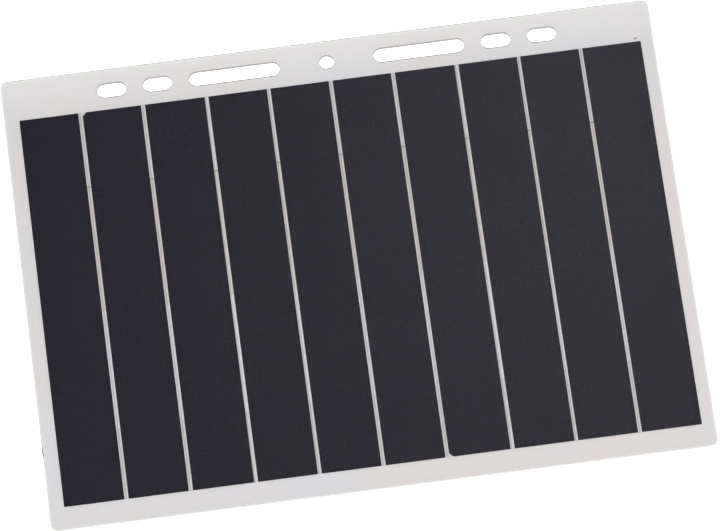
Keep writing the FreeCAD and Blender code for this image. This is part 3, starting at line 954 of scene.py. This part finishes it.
@dataclass
class Conductors:
    """Foils behind the gaps, in lengths with narrow breaks, and the two buses behind the cells."""

    folds: list[Fold]
    reach: float
    under_cell: float = 2.2 * MM
    break_width: float = 0.05 * MM
    # Where each foil length starts, as a share of a strip's length from its top end, and its
    # painted sheen.
    lengths: tuple[tuple[float, PaintedFoilSheen], ...] = (
        (0.0, PaintedFoilSheen.PLAIN), (0.034, PaintedFoilSheen.GREY), (0.195, PaintedFoilSheen.BEIGE),
        (0.52, PaintedFoilSheen.COOL), (0.82, PaintedFoilSheen.DULL), (0.963, PaintedFoilSheen.PLAIN))
    # Where the painted shadow of a lap joint lies, as a share of a strip's length, and its width.
    lap_shadow_share: float = 0.195
    lap_shadow_width: float = 0.32 * MM
    ridge: float = 0.05 * MM
    bus_y: tuple[float, float] = (10.0 * MM, 14.0 * MM)
    bus_inner_x: float = 4.0 * MM
    bus_thickness: float = 0.1 * MM
    bus_columns: tuple[float, ...] = (-1.0, -0.5, 0.0, 0.5, 1.0)

    def runs(self) -> list[tuple[float, float, float, float]]:
        """Lists the foil runs, one behind each gap and one behind each end of the row.

        Returns:
            For each run, its low X, the gap's two sides and its high X.
        """
        boxes = [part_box(f"cell_{number:02d}") for number in range(1, 11)]
        first, last = boxes[0][0].x, boxes[-1][1].x
        found = [(first, first, first, first + self.under_cell)]
        for (_, left), (right, _) in zip(boxes, boxes[1:]):
            found.append((left.x - self.under_cell, left.x, right.x, right.x + self.under_cell))
        found.append((last - self.under_cell, last, last, last))
        return found

    def add_foils(self, made: bmesh.types.BMesh, run: tuple[float, float, float, float]) -> None:
        """Adds every length of one foil run, each folded to a low ridge along the gap.

        Args:
            made: The bmesh to add to.
            run: Low X, the gap's two sides, and high X.
        """
        cell_low, cell_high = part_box("cell_01")
        top = cell_low.z
        length = cell_high.y - cell_low.y
        x0, gap0, gap1, x1 = run
        middle, quarter = (gap0 + gap1) / 2, (gap1 - gap0) / 4
        flat, half_way = top - self.ridge, top - self.ridge / 2
        lines = [(x0, flat), (gap0, flat), (middle - quarter, half_way), (middle, top),
                 (middle + quarter, half_way), (gap1, flat), (x1, flat)]
        columns = lines if gap1 > gap0 else [(x0, flat), (x1, flat)]
        # One break is painted dark, as the shadow of a lap joint, so that break is a short length
        # of its own.
        lap_shadow = self.lap_shadow_width / length / 2
        starts = sorted(
            [(share + lap_shadow * (share == self.lap_shadow_share), number)
             for number, (share, _) in enumerate(self.lengths)]
            + [(self.lap_shadow_share - lap_shadow, len(self.lengths))])
        ends = [share for share, _ in starts[1:]] + [1.0]
        for (start, number), end in zip(starts, ends):
            y1 = cell_high.y - start * length - self.break_width / 2
            y0 = cell_high.y - end * length + self.break_width / 2
            for face in block(made, columns, y0, y1, top - 2 * self.ridge):
                face.material_index = number

    def build(self) -> None:
        """Builds one piece for each fold, with the foils and the stretch of bus that lie in it."""
        z0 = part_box("ribbons_middle")[0].z
        z1 = z0 + self.bus_thickness
        first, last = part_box("cell_01")[0].x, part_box("cell_10")[1].x
        buses = ((first, -self.bus_inner_x), (self.bus_inner_x, last))
        finishes = [tone.value for _, tone in self.lengths]
        # The last finish is the painted shadow of the lap joint.
        finishes.append(Moulding("Lap joint shadow, painted dark", "#8B8682", 0.5, 0.3, 0.01))
        for fold in self.folds:
            made = bmesh.new()
            for run in self.runs():
                if fold.low < (run[0] + run[3]) / 2 < fold.high:
                    self.add_foils(made, run)
            for low, high in buses:
                x0, x1 = max(low, fold.low), min(high, fold.high)
                if x0 < x1:
                    bends = (fold.x + share * self.reach for share in self.bus_columns)
                    inner = [x for x in bends if x0 < x < x1]
                    block(made, [(x, z1) for x in (x0, *inner, x1)], *self.bus_y, z0)
            bmesh.ops.recalc_face_normals(made, faces=made.faces)
            piece = settle(made, f"conductors_bend_{fold.label}", finishes)
            fold.bend(piece, self.reach)
            labels = [body.split("_")[-1] for body in fold.bodies]
            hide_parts(*(f"ribbons_{label}" for label in labels))
        LOG.info("conductors: %d pieces", len(self.folds))


@dataclass
class NickShadow:
    """Painted shadow in the knock on the sheet's left edge: a dark piece that fills the knock."""

    nick: Sequence[tuple[float, float]]
    # The colour of the painted shadow in the knock.
    colour: str = "#3A393D"
    lip: float = 0.10 * MM
    fill: float = 0.94

    def build(self) -> None:
        """Fills the knock with a dark piece, as painted shadow."""
        edge = CAD_BOX[0].x
        z0, z1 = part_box("back_sheet_01")[0].z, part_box("front_film_01")[1].z
        outer = [(edge, y) for y, _ in (self.nick[-1], self.nick[0])]
        inner = [(edge + depth, y) for y, depth in self.nick[1:-1]]
        # Painted shadow: a dark piece fills the knock, where shade falls.
        nick_shadow = prism(
            "edge_nick_shadow", outer[:1] + inner[::-1] + outer[1:],
            ((z0 + self.lip, self.fill), (z1 - self.lip, self.fill)),
            Moulding("Knock shadow, painted dark", self.colour, 0.85, 0.25, 0.03, mottle=0.2))
        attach(nick_shadow, "strip_01")
        LOG.info("nick shadow: painted dark fill in the knock")


@dataclass
class Cells:
    """The ten dark strips, laid by hand a little off their pitch, and a crumb of silicon."""

    # How far the low and the high edge of each strip lie past their places at an even pitch.
    laid_mm: tuple[tuple[float, float], ...] = (
        (0.0, 0.13), (0.10, 0.15), (0.10, 0.57), (0.42, 0.38), (0.19, 0.17),
        (0.06, 0.04), (-0.07, 0.42), (0.35, 0.37), (0.07, 0.14), (-0.06, 0.0))
    chamfer: float = 1.5 * MM
    chamfered_top: int = 2
    chamfered_bottom: int = 7
    rigid_pair: tuple[int, int] = (5, 6)
    crumb_x: float = 117.7 * MM
    crumb_y: float = 76.85 * MM
    crumb_size: float = 0.42 * MM
    crumb_taper: float = 0.72
    crumb_outline: tuple[tuple[float, float], ...] = (
        (-1.0, -0.35), (-0.25, -0.8), (0.7, -0.55), (1.0, 0.2), (0.2, 0.65), (-0.75, 0.4))

    def add_strip(self, number: int, silicon: Finish) -> None:
        """Builds one strip in the place where it was laid.

        Args:
            number: The strip's number, from 1 at the lowest X.
            silicon: Its finish.
        """
        node = f"cell_{number:02d}"
        low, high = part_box(node)
        x0, x1 = (edge + off * MM for edge, off in zip((low.x, high.x), self.laid_mm[number - 1]))
        top = self.chamfer * (number == self.chamfered_top)
        bottom = self.chamfer * (number == self.chamfered_bottom)
        corners = ((x1, low.y), (x1, high.y), (x0 + top, high.y), (x0, high.y - top),
                   (x0, low.y + bottom), (x0 + bottom, low.y))
        outline = list(dict.fromkeys(corners))  # a corner with no chamfer is one point
        strip = prism(
            f"silicon_strip_{number:02d}", outline, ((low.z, 1.0), (high.z, 1.0)), silicon)
        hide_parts(node)
        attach(strip, "panel_middle" if number in self.rigid_pair else f"strip_{number:02d}")

    def build(self) -> None:
        """Builds the strips and the crumb."""
        first, second, last = (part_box(f"cell_{number:02d}") for number in (1, 2, 10))
        pitch = second[0].x - first[0].x
        start = (first[0].x + first[1].x - pitch) / 2
        silicon = TexturedSilicon("Silicon, etched and coated", pitch, start)
        for number in range(1, len(self.laid_mm) + 1):
            self.add_strip(number, silicon)
        outline = [(self.crumb_x + u * self.crumb_size, self.crumb_y + v * self.crumb_size)
                   for u, v in self.crumb_outline]
        crumb = prism(
            "silicon_crumb", outline, ((last[0].z, 1.0), (last[1].z, self.crumb_taper)), silicon)
        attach(crumb, "strip_10")
        LOG.info("cells: 10 strips and a crumb")


# Which way the marks of drawn metal run.
ALONG_Y = (1.0, 0.1, 1.0)
ALONG_Z = (1.0, 1.0, 0.1)
SPARK_ABS = Moulding("ABS, spark-textured black", "#17171A", 0.52, 0.5, 0.02, mottle=0.12)


@dataclass
class OutputBox:
    """The box behind the sheet, with its screws, socket, lamp and board, all carried over."""

    finishes: dict[str, Finish] = field(default_factory=lambda: {
        "box_pad": Moulding("Acrylic foam tape, closed-cell", "#C9C8C2", 0.8, 0.5, 0.05),
        "box_base": SPARK_ABS,
        "box_cover": SPARK_ABS,
        "box_screws": Plating("Steel, zinc-plated", "#B9BBBE", 0.30, 0.35),
        "circuit_board": Moulding("Glass epoxy, green solder mask", "#14512F", 0.32, 1.2, 0.01),
        "socket_shell": Plating("Steel strip, nickel-plated", "#C8C5BE", 0.26, 0.3, ALONG_Y),
        "socket_tongue": Moulding("Nylon, moulded white", "#DAD9D4", 0.42, 0.4, 0.006),
        "socket_contacts": Plating("Bronze, gold-flashed", "#D2A84C", 0.22, 0.2, ALONG_Y),
        "power_inductor": Moulding("Ferrite, moulded", "#2A2A2C", 0.62, 0.35, 0.02, mottle=0.12),
        "regulator_chip": Moulding("Epoxy resin, moulded black", "#1B1B1C", 0.55, 0.3, 0.008),
        "capacitors": Plating("Aluminium, drawn can", "#C4C5C8", 0.28, 0.3, ALONG_Z),
        "blocking_diode": Moulding("Epoxy resin, moulded dark grey", "#202022", 0.5, 0.3, 0.008),
        "status_lamp": Moulding("Epoxy lens, cast pale green", "#A9CDB2", 0.18, 0.8, 0.002, 0.03),
        "output_leads": Plating("Copper strip, tinned", "#C6C4C1", 0.34, 0.3, ALONG_Z),
    })

    def build(self) -> None:
        """Dresses every carried-over piece of the box."""
        for node, finish in self.finishes.items():
            finish.dress(frame["nodes"][node])
        LOG.info("output box: %d pieces", len(self.finishes))


# ---- The studio --------------------------------------------------------------------------------


@dataclass(frozen=True)
class Softbox:
    """An area light that looks at the sheet."""

    name: str
    position: tuple[float, float, float]
    width: float
    height: float
    watts: float
    tint: str = "#FFFFFF"

    def build(self) -> None:
        """Adds the light and turns it to the middle of the sheet."""
        data = bpy.data.lights.new(self.name, "AREA")
        data.shape, data.size, data.size_y = "RECTANGLE", self.width, self.height
        data.energy, data.color = self.watts, linear(self.tint)[:3]
        light = bpy.data.objects.new(self.name, data)
        light.location = self.position
        light.rotation_euler = (-Vector(self.position)).to_track_quat("-Z", "Y").to_euler()
        light.visible_camera = False
        bpy.context.scene.collection.objects.link(light)


@dataclass
class Studio:
    """Lit table, white cove, softboxes and camera."""

    floor_half: float = 30.0
    floor_depth: float = 5 * MM
    dome: float = 0.23
    horizon: float = 1.0
    cove_start: float = 0.10
    cove_end: float = 0.38
    softboxes: tuple[Softbox, ...] = (
        Softbox("softbox_front", (0.0, -1.0, 2.45), width=1.2, height=1.2, watts=50.2),
        Softbox("softbox_sheen", (0.22, 0.65, 1.36), 0.25, 0.25, watts=0.97, tint="#FCF9FF"),
    )
    transparent_bounces: int = 32
    camera_position: tuple[float, float, float] = (-0.0462, -0.9378, 2.18245)
    camera_target: tuple[float, float, float] = (0.00197, -0.00209, 0.01425)
    camera_roll: float = 4.671
    lens_mm: float = 314.35
    sensor_mm: float = 36.0

    def add_floor(self) -> None:
        """Lays the lit table, a little low, so that the ends of a bent sheet clear it."""
        made = bmesh.new()
        half, z = self.floor_half, CAD_BOX[0].z - self.floor_depth
        corners = ((-half, -half), (half, -half), (half, half), (-half, half))
        made.faces.new([made.verts.new((x, y, z)) for x, y in corners])
        floor = settle(made, "floor", [LitFloor("Acrylic, opal and lit")])

    def add_cove(self) -> None:
        """Lights the room: white low down, where the cove meets the table, and softer overhead."""
        world = bpy.data.worlds.new("cove")
        world.use_nodes = True
        tree = world.node_tree
        tree.nodes.clear()
        way = add_node(tree, "ShaderNodeTexCoord").outputs["Generated"]
        up = add_node(tree, "ShaderNodeSeparateXYZ", {0: way}).outputs["Z"]
        strength = add_node(tree, "ShaderNodeMapRange", {
            "Value": up, "From Min": self.cove_start, "From Max": self.cove_end,
            "To Min": self.horizon, "To Max": self.dome}, interpolation_type="SMOOTHSTEP")
        sky = add_node(tree, "ShaderNodeBackground", {
            "Color": WHITE, "Strength": strength.outputs[0]})
        add_node(tree, "ShaderNodeOutputWorld", {"Surface": sky.outputs[0]})
        bpy.context.scene.world = world

    def add_camera(self) -> None:
        """Sets the camera up, rolled so that the sheet's right side rises."""
        data = bpy.data.cameras.new("camera")
        data.sensor_fit, data.sensor_width, data.lens = "HORIZONTAL", self.sensor_mm, self.lens_mm
        camera = bpy.data.objects.new("camera", data)
        position = Vector(self.camera_position)
        ahead = (Vector(self.camera_target) - position).normalized()
        level = ahead.cross(Vector((0, 0, 1))).normalized()
        above = level.cross(ahead)
        roll = math.radians(self.camera_roll)
        right = level * math.cos(roll) - above * math.sin(roll)
        up = above * math.cos(roll) + level * math.sin(roll)
        camera.matrix_world = Matrix.Translation(position) @ Matrix(
            (right, up, -ahead)).transposed().to_4x4()
        bpy.context.scene.collection.objects.link(camera)
        bpy.context.scene.camera = camera

    def build(self) -> None:
        """Sets up the whole studio."""
        self.add_floor()
        self.add_cove()
        for softbox in self.softboxes:
            softbox.build()
        self.add_camera()
        bpy.context.scene.view_settings.view_transform = "Standard"
        # Light crosses up to a dozen clear faces near the seams of the layers.
        bpy.context.scene.cycles.transparent_max_bounces = self.transparent_bounces
        LOG.info("studio: floor, cove, %d softboxes and camera", len(self.softboxes))


def main() -> None:
    """Builds the sheet from its layers to its studio."""
    logging.basicConfig(level=logging.INFO, format="%(name)s: %(message)s")
    layout = Folds()
    folds = layout.build()
    laminate = Laminate(folds, layout.reach, layout.column_shares)
    laminate.build()
    Conductors(folds, layout.reach).build()
    Cells().build()
    NickShadow(laminate.nick).build()
    OutputBox().build()
    Studio().build()


if __name__ == "__main__":
    main()
